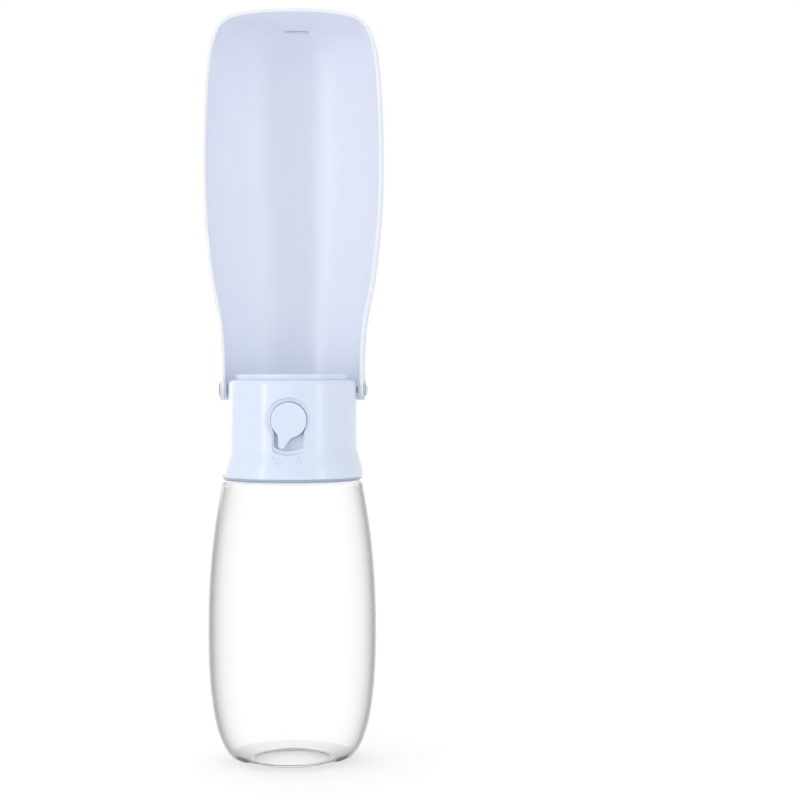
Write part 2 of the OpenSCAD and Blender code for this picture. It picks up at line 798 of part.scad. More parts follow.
module ear_cuts(side) {
    end_room = asin((nub_r + 0.1) / nub_at);
    translate([side * (ear_in - 1), pin_y, pin_z]) rotate([0, side * 90, 0])
        cylinder(h = far, r = pin_r + pin_fit);
    mirror([side < 0 ? 1 : 0, 0, 0]) translate([ear_in - 1, pin_y, pin_z]) rotate([0, 90, 0])
        rotate([0, 0, -end_room]) rotate_extrude(angle = 180 + 2 * end_room)
            translate([slot_in_r, 0]) square([slot_out_r - slot_in_r, slot_depth + 1]);
}

// The trough folded down: a shell turned about the bottle's axis and cut off behind it
module folded_trough() {
    inner = inset(reversed(trough_outline), trough_wall);
    difference() {
        union() {
            difference() {
                rotate_extrude() polygon(concat(
                    [[hinge_r - ear_bevel, pin_z + ear_reach],
                        [hinge_r, pin_z + ear_reach - 2 * ear_bevel]],
                    [for (i = [1:len(trough_outline) - 1]) trough_outline[i]],
                    [[0, inner[0][1]]],
                    [for (i = [1:len(inner) - 1]) inner[i]]
                ));
                translate([-far, rim_back, -far]) cube([2 * far, far, 4 * far]);
            }
            for (side = [-1, 1])
                ear_pad(side);
            snap_rib(inner);
        }
        for (side = [-1, 1])
            ear_cuts(side);
        // Round corner of the ears, about the hinge
        difference() {
            translate([-far, pin_y, pin_z]) cube([2 * far, far, far]);
            translate([-far, pin_y, pin_z]) rotate([0, 90, 0]) cylinder(h = 2 * far, r = rim_back - pin_y);
        }
    }
}

// A short low rib inside the trough's end, before the corner
module snap_rib(inner) {
    end_part = [for (q = inner) if (q[1] < trough_end + trough_belly_r / 4) q];
    rib_y = trough_belly_r * 2 / 3;
    translate([-rib_len / 2, -rib_y, lookup(rib_y, end_part) - rib_sink]) rotate([0, 90, 0])
        cylinder(h = rib_len, r = rib_h + rib_sink);
}

module trough() {
    color(white) translate([0, pin_y, pin_z]) rotate([180, 0, 0]) translate([0, -pin_y, -pin_z])
        folded_trough();
}

bottle();
neck_gasket();
head_shell();
thread_collar();
end_plate();
end_plate_seal();
valve_body();
inlet_seal();
outlet_seal();
stem_seal();
seal_retainer();
valve_stem();
valve_stopper();
spring_seat();
stopper_screw();
valve_spring();
valve_end_cap();
end_cap_seal();
valve_screws();
lock_button();
hinge_pin_left();
hinge_pin_right();
trough();
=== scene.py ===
"""Looks of a dog's travel water bottle: a clear body, a gloss white head with a lock button, and a trough
that stands open behind the head. Lengths are in millimetres until a mesh is made, and every place comes
from the frame."""
import math

import bpy
import numpy as np
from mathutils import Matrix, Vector


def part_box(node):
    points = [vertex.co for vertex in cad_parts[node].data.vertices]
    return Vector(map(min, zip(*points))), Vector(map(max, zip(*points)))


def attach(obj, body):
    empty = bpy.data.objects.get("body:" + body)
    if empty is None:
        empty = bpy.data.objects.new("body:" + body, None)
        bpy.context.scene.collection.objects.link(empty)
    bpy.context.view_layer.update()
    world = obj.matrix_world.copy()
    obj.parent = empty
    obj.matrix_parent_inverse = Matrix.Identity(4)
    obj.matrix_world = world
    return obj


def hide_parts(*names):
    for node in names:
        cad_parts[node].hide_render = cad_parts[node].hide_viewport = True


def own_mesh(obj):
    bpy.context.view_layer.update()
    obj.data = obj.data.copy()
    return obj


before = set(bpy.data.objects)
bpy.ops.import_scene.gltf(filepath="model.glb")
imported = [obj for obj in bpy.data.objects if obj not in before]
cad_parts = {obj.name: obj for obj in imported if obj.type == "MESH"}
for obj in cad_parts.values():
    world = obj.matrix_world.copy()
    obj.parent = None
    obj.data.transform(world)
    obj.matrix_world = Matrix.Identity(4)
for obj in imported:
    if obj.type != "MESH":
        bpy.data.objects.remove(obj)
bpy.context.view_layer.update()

MM = 0.001
TURN = 2 * math.pi


def box_mm(node):
    """Lowest and highest corner of a CAD node, in millimetres."""
    low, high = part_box(node)
    return np.array(low) / MM, np.array(high) / MM


# Sizes and places that the frame gives
bottle_high = box_mm("bottle")[1]
casing_low, casing_high = box_mm("head_shell")
plate_high = box_mm("end_plate")[1]
button_low, button_high = box_mm("lock_button")
pin_low, pin_high = box_mm("hinge_pin_right")
trough_low, trough_high = box_mm("trough")
collar_low = box_mm("thread_collar")[0]

BELLY_R = bottle_high[0]
LIP_Z = bottle_high[2]
HEAD_Z = casing_low[2]
HEAD_TOP = casing_high[2]
FLARE_R = casing_high[0]
BUTTON_R = button_high[0]
BUTTON_Z = button_high[2] - BUTTON_R
BUTTON_FACE = button_low[1]
HUB_END = button_high[1]
PIN_Y = (pin_low[1] + pin_high[1]) / 2
PIN_Z = (pin_low[2] + pin_high[2]) / 2
DOME_R = (pin_high[2] - pin_low[2]) / 2
TROUGH_R = trough_high[0]
RIM_R = plate_high[0]

# Clear body
BODY_H = collar_low[2] - 0.3
BELLY_Z = 61.0
SHOULDER_R = 32.0
SHOULDER_ROUND = 1.5
FOOT_R = 19.5
FOOT_W = 2.0
ARCH_H = 3.4
BOTTLE_WALL = 0.7
NECK_R = 22.0
NECK_WALL = 2.0
THREAD_PITCH = 3.0
THREAD_DEPTH = 1.3
THREAD_W = 1.2
THREAD_RUN = 300.0
THREAD_START = 2.6

# Head casing
HEAD_R = 29.4
FLARE_H = 15.0
HEAD_WALL = 2.0
HEAD_ROUND = 2.3
MOUTH_R = 24.5
RECESS_R = 10.0
SWEEP_HALF = 7.3
SWEEP_REACH = 15.7
RECESS_FLOOR = -27.6
POCKET_HALF = 6.6
POCKET_REACH = 13.7
POCKET_FLOOR = -25.2
WELL_R = 8.08
WELL_FLOOR = -23.8
WELL_T = 1.6
HUB_R = 4.2
HUB_BORE_R = 2.25
MARK_UP = 8.0
MARK_X = 4.7
MARK_SIDE = 2.2
MARK_LINE = 0.48
MARK_PROUD = 0.32
LOOP_DROP = 21.5
LOOP_HOLE_R = 1.5
LOOP_R = 3.6
LOOP_T = 3.0
WINDOW_BELOW = 19.0
WINDOW_ABOVE = 12.5
WINDOW_HALF = 38
CASING_COLUMNS = 360

# Button
BUTTON_T = 2.0
POINTER_T = 0.9
POINTER_REACH = 13.3
POINTER_TIP_R = 1.5
POINTER_ROOT_HALF = 3.2
UNLOCK_ANGLE = math.radians(15)
FACE_ROUND = 0.45
BACK_ROUND = 0.2

# Hinge pins
PIN_R = 1.6
DOME_H = 1.1

# Valve spring
SPRING_WIRE = 0.7
SPRING_COILS = 5
SPRING_GAP = 0.02

# End plate
RIM_W = 2.0
OUTLET_R = 2.8
SOCKET_R = 4.5
FLOOR_Z = HEAD_TOP - 1.0
PLATE_TOP = HEAD_TOP + 0.6
SKIRT_R = MOUTH_R - 0.2
SKIRT_WALL = 1.5
SKIRT_Z = HEAD_TOP - 3.2
SOCKET_WALL = 1.6
SOCKET_Z = FLOOR_Z - 5.0

# Trough
HINGE_R = 33.5
TROUGH_WALL = 1.6
EAR_REACH = PIN_Z - trough_low[2]
EAR_IN = 30.2
EAR_BORE_R = 1.68
RIM_BACK = 2 * PIN_Y - trough_low[1]
TROUGH_LEN = trough_high[2] - PIN_Z
RIB_LEN = 10.6
RIB_R = 0.8
EDGE_R = 0.45


# Mesh making


def grid_faces(rows, cols, wrap=False):
    """Quads that join each point of a rows by cols grid to the next row and column. wrap joins the last
    column to the first."""
    i = np.arange(rows - 1)[:, None] * cols
    j = np.arange(cols if wrap else cols - 1)[None, :]
    k = (j + 1) % cols
    return np.stack([i + j, i + k, i + cols + k, i + cols + j], axis=-1).reshape(-1, 4)


def signed_volume(points, quads):
    """Volume inside the faces: a sixth of the sum of a . (b x c) over the two triangles of each quad."""
    a, b, c, d = (points[quads[:, i]] for i in range(4))
    return (np.einsum("ij,ij->i", a, np.cross(b, c)) + np.einsum("ij,ij->i", a, np.cross(c, d))).sum() / 6


def merged(points, quads):
    """The same faces with points that lie within a micrometre made one, and faces that collapse left
    out."""
    key = np.round(points * 1000).astype(np.int64)
    _, first, place = np.unique(key, axis=0, return_index=True, return_inverse=True)
    quads = place.reshape(-1)[quads]
    faces = []
    for q in quads.tolist():
        face = [v for i, v in enumerate(q) if v != q[i - 1]]
        if len(set(face)) >= 3:
            faces.append(face)
    return points[first], faces


def piece(name, parts, material, body, replaces=(), sharp=40):
    """One object from closed grids of points in millimetres, with its faces outwards, shaded smooth below
    the angle sharp."""
    mesh = bpy.data.meshes.new(name)
    points, faces, count = [], [], 0
    for part_points, quads in parts:
        part_points = part_points.reshape(-1, 3)
        if signed_volume(part_points, quads) < 0:
            quads = quads[:, ::-1]
        kept, joined = merged(part_points, quads)
        points.append(kept)
        faces += [[v + count for v in f] for f in joined]
        count += len(kept)
    mesh.from_pydata((np.concatenate(points) * MM).tolist(), [], faces)
    mesh.validate()
    mesh.shade_smooth()
    mesh.set_sharp_from_angle(angle=math.radians(sharp))
    made = bpy.data.objects.new(name, mesh)
    bpy.context.scene.collection.objects.link(made)
    mesh.materials.append(material)
    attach(made, body)
    if replaces:
        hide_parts(*replaces)
    return made


def smooth_step(t):
    """Zero below 0, one above 1, and 3t^2 - 2t^3 between."""
    u = np.clip(t, 0, 1)
    return u * u * (3 - 2 * u)


def soft_max(a, b, k):
    """The larger of a and b, rounded where they are nearer than k: a bump k / 4 high that fades as a
    parabola."""
    h = np.clip(k - np.abs(a - b), 0, None) / k
    return np.maximum(a, b) + h * h * k / 4


def soft_min(a, b, k):
    """The smaller of a and b, rounded where they are nearer than k."""
    return -soft_max(-a, -b, k)


def rounded(corners, steps=5):
    """A path through (x, y, radius) corners, each corner cut back by its radius and rounded by a
    quadratic curve whose middle point is the corner."""
    path = []
    for i, (x, y, r) in enumerate(corners):
        here = np.array([x, y], float)
        if r == 0 or i in (0, len(corners) - 1):
            path.append(here)
            continue
        back = np.array(corners[i - 1][:2], float) - here
        ahead = np.array(corners[i + 1][:2], float) - here
        start = here + back / np.linalg.norm(back) * min(r, np.linalg.norm(back) / 2)
        end = here + ahead / np.linalg.norm(ahead) * min(r, np.linalg.norm(ahead) / 2)
        for t in np.linspace(0, 1, steps):
            path.append((1 - t) ** 2 * start + 2 * t * (1 - t) * here + t * t * end)
    return np.array(path)


def catmull_rom(knots, steps):
    """The smooth curve through the knots: on each span the cubic whose slope at a knot is half the step
    between its neighbours."""
    p = np.array(knots, float)
    before = np.concatenate([p[:1], p[:-2]])
    after = np.concatenate([p[2:], p[-1:]])
    a, b, c, d = (q[:, None, :] for q in (before, p[:-1], p[1:], after))
    t = (np.arange(steps) / steps)[None, :, None]
    curve = b + (c - a) * t / 2 + (a - 2.5 * b + 2 * c - d / 2) * t**2
    curve = curve + (1.5 * (b - c) + (d - a) / 2) * t**3
    return np.concatenate([curve.reshape(-1, 2), p[-1:]])


def offset(path, distance):
    """The path moved to its left by a distance, along the normal worked out from its neighbours."""
    slope = np.gradient(path, axis=0)
    slope /= np.linalg.norm(slope, axis=1)[:, None]
    return path + distance * np.stack([-slope[:, 1], slope[:, 0]], axis=1)


def clear_of(path, wall, distance):
    """The points of path that lie at least the distance from every point of the wall."""
    gap = np.linalg.norm(path[:, None, :] - wall[None, :, :], axis=2).min(axis=1)
    return path[gap > distance]


def evenly(path, spacing):
    """The path with points added along its straight stretches, so that none is longer than the
    spacing."""
    out = [path[:1]]
    for a, b in zip(path[:-1], path[1:]):
        n = max(1, math.ceil(np.linalg.norm(b - a) / spacing))
        out.append(a + (b - a) * (np.arange(1, n + 1) / n)[:, None])
    return np.concatenate(out)


def revolve(profile, columns, swell=None):
    """A surface of revolution about Z: a profile point (r, z) goes to (r cos a, r sin a, z). swell, a
    function of z and the angle, is added to r. The profile is a closed loop, or starts and ends on the
    axis."""
    angle = np.linspace(0, TURN, columns, endpoint=False)[None, :]
    r, z = profile[:, :1], profile[:, 1:]
    if swell is not None:
        r = r + swell(r, z, angle)
    points = np.stack(np.broadcast_arrays(r * np.cos(angle), r * np.sin(angle), z), axis=-1)
    return points, grid_faces(len(profile), columns, wrap=True)


def closed(profile):
    """The profile with its first point again at the end."""
    return np.concatenate([profile, profile[:1]])


def about_x(points, x, y, z):
    """A shape made about Z turned so that its axis lies along X, with its origin at (x, y, z)."""
    return np.stack([points[..., 2] + x, points[..., 0] + y, points[..., 1] + z], axis=-1)


# Materials


def socket(group, name, kind, way, value=None):
    """One named input or output of a node group."""
    made = group.interface.new_socket(name=name, in_out=way, socket_type=kind)
    if value is not None:
        made.default_value = value
    return made


def worked_out(nodes, links, operation, values, clamp=False):
    """A Math node's result. Each value is a number, or what another node puts out."""
    made = nodes.new("ShaderNodeMath")
    made.operation = operation
    made.use_clamp = clamp
    for value, place in zip(values, made.inputs):
        if isinstance(value, bpy.types.NodeSocket):
            links.new(value, place)
        else:
            place.default_value = value
    return made.outputs[0]


def noise(nodes, links, vector, scale, detail):
    """A noise pattern's value at the vector."""
    made = nodes.new("ShaderNodeTexNoise")
    made.inputs["Scale"].default_value = scale
    made.inputs["Detail"].default_value = detail
    links.new(vector, made.inputs["Vector"])
    return made.outputs["Fac"]


def raise_surface(nodes, links, shader, height, strength, distance):
    """A bump on the shader's normal: distance is in millimetres, for a height of one."""
    raised = nodes.new("ShaderNodeBump")
    raised.inputs["Strength"].default_value = strength
    raised.inputs["Distance"].default_value = distance * MM
    links.new(height, raised.inputs["Height"])
    links.new(raised.outputs["Normal"], shader.inputs["Normal"])


def moulded_grain():
    """A node group for moulded plastic: a slow cloudy shift between two colours, a fine change of gloss,
    and the low waves and grain that a mould leaves, as a height."""
    group = bpy.data.node_groups.new("moulded_grain", "ShaderNodeTree")
    socket(group, "Vector", "NodeSocketVector", "INPUT")
    socket(group, "Colour", "NodeSocketColor", "INPUT", (0.8, 0.8, 0.8, 1))
    socket(group, "Tint", "NodeSocketColor", "INPUT", (0.8, 0.8, 0.8, 1))
    socket(group, "Roughness", "NodeSocketFloat", "INPUT", 0.2)
    socket(group, "Colour", "NodeSocketColor", "OUTPUT")
    socket(group, "Roughness", "NodeSocketFloat", "OUTPUT")
    socket(group, "Height", "NodeSocketFloat", "OUTPUT")
    nodes, links = group.nodes, group.links
    given, result = nodes.new("NodeGroupInput"), nodes.new("NodeGroupOutput")
    scales = ((22, 2), (900, 3), (60, 1), (2600, 2))
    cloud, speck, wave, grain = (noise(nodes, links, given.outputs["Vector"], *size) for size in scales)
    mix = nodes.new("ShaderNodeMix")
    mix.data_type = "RGBA"
    links.new(cloud, mix.inputs[0])
    links.new(given.outputs["Colour"], mix.inputs[6])
    links.new(given.outputs["Tint"], mix.inputs[7])
    links.new(mix.outputs[2], result.inputs["Colour"])
    rough = worked_out(nodes, links, "MULTIPLY_ADD", [speck, 0.08, given.outputs["Roughness"]])
    height = worked_out(nodes, links, "MULTIPLY_ADD", [grain, 0.02, wave])
    links.new(rough, result.inputs["Roughness"])
    links.new(height, result.inputs["Height"])
    return group


GRAIN = moulded_grain()


def srgb(red, green, blue):
    """A colour given as it is seen on a screen, from 0 to 255, as the linear values that a shader
    takes."""
    c = np.array([red, green, blue]) / 255
    linear = np.where(c <= 0.04045, c / 12.92, ((c + 0.055) / 1.055) ** 2.4)
    return (*linear.tolist(), 1.0)


def new_material(name):
    """An empty node material with its output and a Principled shader."""
    made = bpy.data.materials.new(name)
    made.use_nodes = True
    nodes = made.node_tree.nodes
    nodes.clear()
    out = nodes.new("ShaderNodeOutputMaterial")
    shader = nodes.new("ShaderNodeBsdfPrincipled")
    made.node_tree.links.new(shader.outputs[0], out.inputs["Surface"])
    return made, nodes, made.node_tree.links, shader, out


def grained(name, colour, tint, roughness, bump, ior=1.5, metallic=0.0, glow_depth=0.0):
    """A moulded or turned finish: the shared grain drives colour, roughness and a low bump. glow_depth is
    how far light wanders inside the plastic, in millimetres."""
    made, nodes, links, shader, _ = new_material(name)
    where = nodes.new("ShaderNodeTexCoord")
    grain = nodes.new("ShaderNodeGroup")
    grain.node_tree = GRAIN
    grain.inputs["Colour"].default_value = colour
    grain.inputs["Tint"].default_value = tint
    grain.inputs["Roughness"].default_value = roughness
    links.new(where.outputs["Object"], grain.inputs["Vector"])
    links.new(grain.outputs["Colour"], shader.inputs["Base Color"])
    links.new(grain.outputs["Roughness"], shader.inputs["Roughness"])
    raise_surface(nodes, links, shader, grain.outputs["Height"], bump, 0.1)
    shader.inputs["IOR"].default_value = ior
    shader.inputs["Metallic"].default_value = metallic
    if glow_depth:
        shader.inputs["Subsurface Weight"].default_value = 0.9
        shader.inputs["Subsurface Radius"].default_value = (1, 1, 1)
        shader.inputs["Subsurface Scale"].default_value = glow_depth * MM
    return made


def ramp_of(nodes, stops):
    """A grey ramp through pairs of place and level, the levels as seen on a screen."""
    ramp = nodes.new("ShaderNodeValToRGB")
    for place, level in stops:
        ramp.color_ramp.elements.new(place).color = srgb(level, level, level)
    ramp.color_ramp.elements.remove(ramp.color_ramp.elements[-1])
    ramp.color_ramp.elements.remove(ramp.color_ramp.elements[0])
    return ramp


def clear_finish(name):
    """Clear plastic: refracting, grey where it is seen edge on by painted shade, half gone in the tight
    round of the shoulder, with faint waves left by blowing. Lamps shine through its thin wall."""
    made, nodes, links, shader, out = new_material(name)
    where = nodes.new("ShaderNodeTexCoord")
    facing = nodes.new("ShaderNodeLayerWeight")
    facing.inputs["Blend"].default_value = 0.5
    # Painted shade: the colour turns grey where the body is seen edge on, for the dark edges of refraction.
    depth = ramp_of(nodes, [(0.25, 255), (0.414, 250), (0.503, 243), (0.627, 226), (0.757, 194),
                            (0.92, 150)])
    links.new(facing.outputs["Facing"], depth.inputs["Fac"])
    links.new(depth.outputs["Color"], shader.inputs["Base Color"])
    height = nodes.new("ShaderNodeSeparateXYZ")
    links.new(where.outputs["Object"], height.inputs[0])
    up_the_body = worked_out(nodes, links, "DIVIDE", [height.outputs["Z"], (BODY_H + 1) * MM])
    solid = ramp_of(nodes, [(0.967, 255), (0.985, 105), (0.9935, 105), (0.9965, 255)])
    links.new(up_the_body, solid.inputs["Fac"])
    links.new(solid.outputs["Color"], shader.inputs["Alpha"])
    wave = noise(nodes, links, where.outputs["Object"], 28, 1)
    raise_surface(nodes, links, shader, wave, 0.15, 0.2)
    shader.inputs["Roughness"].default_value = 0.02
    shader.inputs["IOR"].default_value = 1.06
    shader.inputs["Transmission Weight"].default_value = 1.0
    open_way = nodes.new("ShaderNodeBsdfTransparent")
    open_way.inputs["Color"].default_value = srgb(205, 205, 206)
    path = nodes.new("ShaderNodeLightPath")
    choice = nodes.new("ShaderNodeMixShader")
    links.new(path.outputs["Is Shadow Ray"], choice.inputs["Fac"])
    links.new(shader.outputs[0], choice.inputs[1])
    links.new(open_way.outputs[0], choice.inputs[2])
    links.new(choice.outputs[0], out.inputs["Surface"])
    return made


CASING = grained("casing_plastic", srgb(224, 233, 250), srgb(221, 231, 249), 0.16, 0.04)
TROUGH = grained("trough_plastic", srgb(236, 239, 253), srgb(234, 238, 253), 0.3, 0.04, glow_depth=1.2)
INNER = grained("inner_plastic", srgb(214, 220, 232), srgb(206, 213, 226), 0.3, 0.08)
# Painted shade: the white thread collar is coloured grey blue for the shaded band under the head's edge.
COLLAR_PAINTED_SHADE = grained("collar_painted_shade", srgb(174, 187, 205), srgb(167, 180, 199), 0.3, 0.06)
SILICONE = grained("silicone", srgb(222, 225, 228), srgb(212, 216, 220), 0.55, 0.1, ior=1.41)
STEEL = grained("steel", srgb(190, 192, 196), srgb(172, 175, 180), 0.24, 0.08, metallic=1.0)
CLEAR = clear_finish("clear_plastic")


# Clear body


def bottle_outline():
    """Outer outline of the body: an arch z = h (1 - (r/R)^2), the ring foot, a heel whose radius rises as
    (1 - (1 - t)^2.45)^(1/2.9), the taper to the shoulder that falls as t^2.1, and the rounded
    shoulder."""
    foot_in = FOOT_R - FOOT_W
    r = np.linspace(0, foot_in - 0.4, 24)
    arch = np.stack([r, ARCH_H * (1 - (r / foot_in) ** 2)], axis=1)
    foot = rounded([(*arch[-1], 0), (foot_in, 0, 0.4), (FOOT_R, 0, 0.5), (FOOT_R + 0.9, 0.35, 0)])
    z = np.linspace(0.2, 1, 60) ** 2 * BELLY_Z
    heel = np.stack([FOOT_R + (BELLY_R - FOOT_R) * (1 - (1 - z / BELLY_Z) ** 2.45) ** (1 / 2.9), z], axis=1)
    heel = heel[heel[:, 1] > 0.6]
    t = np.linspace(0, 1, 40)[1:-1]
    top = BODY_H - SHOULDER_ROUND
    taper = np.stack([BELLY_R - (BELLY_R - SHOULDER_R) * t**2.1, BELLY_Z + (top - BELLY_Z) * t], axis=1)
    a = np.linspace(0, math.pi / 2, 8)
    centre = SHOULDER_R - SHOULDER_ROUND
    shoulder = np.stack([centre + SHOULDER_ROUND * np.cos(a), top + SHOULDER_ROUND * np.sin(a)], axis=1)
    return np.concatenate([arch, foot[1:], heel, taper, shoulder])


def thread_swell(r, z, angle):
    """Height of the thread ridge on the neck: a blunt wedge centred on the helix z = z0 + pitch a / turn,
    faded out over the last degrees of its run."""
    helix = BODY_H + THREAD_START + THREAD_PITCH * angle / TURN
    wedge = smooth_step((THREAD_W / 2 - np.abs(z - helix)) / (0.25 * THREAD_W))
    run = np.degrees(angle)
    fade = smooth_step(run / 12) * smooth_step((THREAD_RUN - run) / 12)
    on_neck = (np.abs(r - NECK_R) < 0.01) & (z > BODY_H + 0.5)
    return THREAD_DEPTH * wedge * fade * on_neck


def make_bottle():
    """The clear body: its outline, the threaded neck, and back down inside at the wall's thickness."""
    outer = bottle_outline()
    neck = rounded([
        (SHOULDER_R - SHOULDER_ROUND, BODY_H, 0), (NECK_R, BODY_H, 0.5), (NECK_R, LIP_Z, 0.4),
        (NECK_R - NECK_WALL, LIP_Z, 0.4), (NECK_R - NECK_WALL, BODY_H - BOTTLE_WALL, 0.8),
        (SHOULDER_R - SHOULDER_ROUND - BOTTLE_WALL, BODY_H - BOTTLE_WALL, 0)])
    inner = clear_of(offset(evenly(outer, 0.9), BOTTLE_WALL), evenly(outer, 0.2), BOTTLE_WALL - 0.03)
    inner = inner[(inner[:, 0] > 0.3) & (inner[:, 1] < BODY_H - BOTTLE_WALL - 0.05)]
    inner = np.concatenate([[[0, ARCH_H + BOTTLE_WALL]], inner])
    profile = np.concatenate([outer, evenly(neck, 0.25)[1:], inner[::-1]])
    return piece("bottle_body", [revolve(profile, 184, thread_swell)], CLEAR, "bottle",
                 ["bottle"])


# Head casing


def casing_radius(z):
    """Outer radius of the casing at a height: the plain radius, and the flare that eases out to the lower
    edge."""
    t = (z - HEAD_Z - 1) / (FLARE_H - 1)
    return HEAD_R + (FLARE_R - HEAD_R) * smooth_step(1 - t)


def reach_down(half, reach, round_r, angle):
    """Distance from the button's axis to the edge of a slot of that half width and reach that runs down
    from it, joined to a circle: the larger of the two with a soft corner. The angle is from straight
    down."""
    side = half / np.maximum(np.abs(np.sin(angle)), 1e-3)
    slot = soft_min(side, np.full_like(side, reach), 1.6)
    slot = np.where(np.cos(angle) > 0, slot, 0)
    return soft_max(np.full_like(slot, round_r), slot, 1.2)


def front_point(radius_of, distance, angle, level=None):
    """A point seen from the front at a distance and angle from the button's axis, on the turned surface y
    = -sqrt(R(z)^2 - x^2), or at a given depth y, an array or one number."""
    x = distance * np.sin(angle)
    z = BUTTON_Z - distance * np.cos(angle)
    if level is None:
        level = -np.sqrt(np.maximum(radius_of(z) ** 2 - x**2, 0))
    return np.stack([x, np.broadcast_to(level, x.shape), z], axis=-1)


def stepped_patch(edge, radius_of, outlines, levels, edges, last):
    """Rings from the patch's edge inwards: along the turned surface to the first outline, then down a
    wall and in along a floor for each outline and level, with each lip rounded as a quarter circle of its
    own radius. last is the ring that the patch ends on."""
    angle = np.arctan2(edge[:, 0], BUTTON_Z - edge[:, 2])
    far = np.hypot(edge[:, 0], BUTTON_Z - edge[:, 2])
    rings = [edge]
    near = outlines[0] + edges[0] + 0.05
    for share in np.linspace(0, 1, 10)[1:]:
        rings.append(front_point(radius_of, far + (near - far) * share, angle))
    above = rings[-1][:, 1]
    for outline, level, lip in zip(outlines, levels, edges):
        floor = np.maximum(level, above + 0.04)
        drop = np.minimum(lip, (floor - above) * 0.45)
        for a in np.linspace(0, math.pi / 2, 5):
            rings.append(front_point(radius_of, outline + drop * (1 - math.sin(a)), angle,
                                     above + drop * (1 - math.cos(a))))
        for a in np.linspace(0, math.pi / 2, 4):
            rings.append(front_point(radius_of, outline - drop * 0.6 * (1 - math.cos(a)), angle,
                                     floor - drop * 0.6 * (1 - math.sin(a))))
        above = np.full_like(above, level)
    return np.stack(rings + [last(angle)])


def make_casing():
    """The casing: a profile turned about Z, with a window at the front where stepped rings lead from the
    turned surface into the recess, the pointer's pocket and the button's well, outside and inside."""
    low, high = BUTTON_Z - WINDOW_BELOW, BUTTON_Z + WINDOW_ABOVE
    t = np.linspace(0, 1, 30)
    flare_z = HEAD_Z + 1 + (FLARE_H - 1) * t
    flare_z = flare_z[flare_z < low - 0.3]
    rows_z = np.linspace(low, high, 60)
    a = np.linspace(0, math.pi / 2, 9)
    top = HEAD_TOP - HEAD_ROUND
    outer_low = np.concatenate([
        rounded([(FLARE_R - 0.8, HEAD_Z, 0), (FLARE_R, HEAD_Z, 0.5), (FLARE_R, HEAD_Z + 0.9, 0)]),
        np.stack([casing_radius(flare_z), flare_z], axis=1)])
    outer_mid = np.stack([casing_radius(rows_z), rows_z], axis=1)
    round_top = np.stack([HEAD_R - HEAD_ROUND * (1 - np.cos(a)), top + HEAD_ROUND * np.sin(a)], axis=1)
    mouth = rounded([
        (HEAD_R - HEAD_ROUND, HEAD_TOP, 0), (MOUTH_R, HEAD_TOP, 0.3), (MOUTH_R, HEAD_TOP - HEAD_WALL, 0.3),
        (HEAD_R - HEAD_WALL, HEAD_TOP - HEAD_WALL, 0.8), (HEAD_R - HEAD_WALL, high + 0.6, 0)])
    inner_mid = np.stack([casing_radius(rows_z[::-1]) - HEAD_WALL, rows_z[::-1]], axis=1)
    inner_low = np.stack([casing_radius(flare_z[::-1]) - HEAD_WALL, flare_z[::-1]], axis=1)
    foot = rounded([(FLARE_R - HEAD_WALL, HEAD_Z + 0.9, 0), (FLARE_R - HEAD_WALL, HEAD_Z, 0.4),
                    (FLARE_R - 0.8, HEAD_Z, 0)])
    profile = np.concatenate([outer_low, outer_mid, round_top, mouth[1:], inner_mid, inner_low, foot])
    start = len(outer_low)
    back = start + len(outer_mid) + len(round_top) + len(mouth) - 1
    turned, quads = revolve(profile, CASING_COLUMNS)
    row = quads[:, 0] // CASING_COLUMNS
    column = quads[:, 0] % CASING_COLUMNS
    centre = CASING_COLUMNS * 3 // 4
    inside = (column >= centre - WINDOW_HALF) & (column < centre + WINDOW_HALF)
    last = len(rows_z) - 1
    hole = inside & (((row >= start) & (row < start + last)) | ((row >= back) & (row < back + last)))
    quads = quads[~hole]

    def edge_of(first):
        """The window's edge as one loop of points: along its first row, up, back along its last row and
        down."""
        grid = turned[first:first + last + 1, centre - WINDOW_HALF:centre + WINDOW_HALF + 1]
        return np.concatenate([grid[0, :-1], grid[:-1, -1], grid[-1, :0:-1], grid[:0:-1, 0]])

    def outlines(grow, angle):
        recess = reach_down(SWEEP_HALF + grow[0], SWEEP_REACH + grow[0], RECESS_R + grow[0], angle)
        pocket = reach_down(POCKET_HALF + grow[1], POCKET_REACH + grow[1], WELL_R + grow[1] + 0.08, angle)
        return [recess, pocket, np.full_like(angle, WELL_R + grow[2]), np.full_like(angle, HUB_R + 0.3)]

    front = edge_of(start)
    rear = edge_of(back)[::-1]
    # The inner loop starts at the corner behind the outer loop's first point, a wall's thickness further in
    behind_first = front[0, [0, 2]] * [0.93, 1]
    rear = np.roll(rear, -np.argmin(np.linalg.norm(rear[:, [0, 2]] - behind_first, axis=1)), axis=0)
    rear = np.concatenate([rear[:1], rear[:0:-1]])
    front_angle = np.arctan2(front[:, 0], BUTTON_Z - front[:, 2])
    rear_angle = np.arctan2(rear[:, 0], BUTTON_Z - rear[:, 2])
    hole_end = WELL_FLOOR + WELL_T
    outside = stepped_patch(
        front, casing_radius, outlines((0, 0, 0), front_angle),
        [RECESS_FLOOR, POCKET_FLOOR, WELL_FLOOR, hole_end - 0.2], [0.5, 0.3, 0.25, 0.2],
        lambda angle: front_point(casing_radius, np.full_like(angle, HUB_R + 0.3), angle, hole_end))
    behind = rear_rings(rear, outlines((1.0, 1.0, 1.2), rear_angle), hole_end)
    rings = np.concatenate([outside, behind[::-1]])
    parts = [turned.reshape(-1, 3), rings.reshape(-1, 3)]
    faces = [quads, grid_faces(len(rings), rings.shape[1], wrap=True) + len(parts[0])]
    return parts, faces


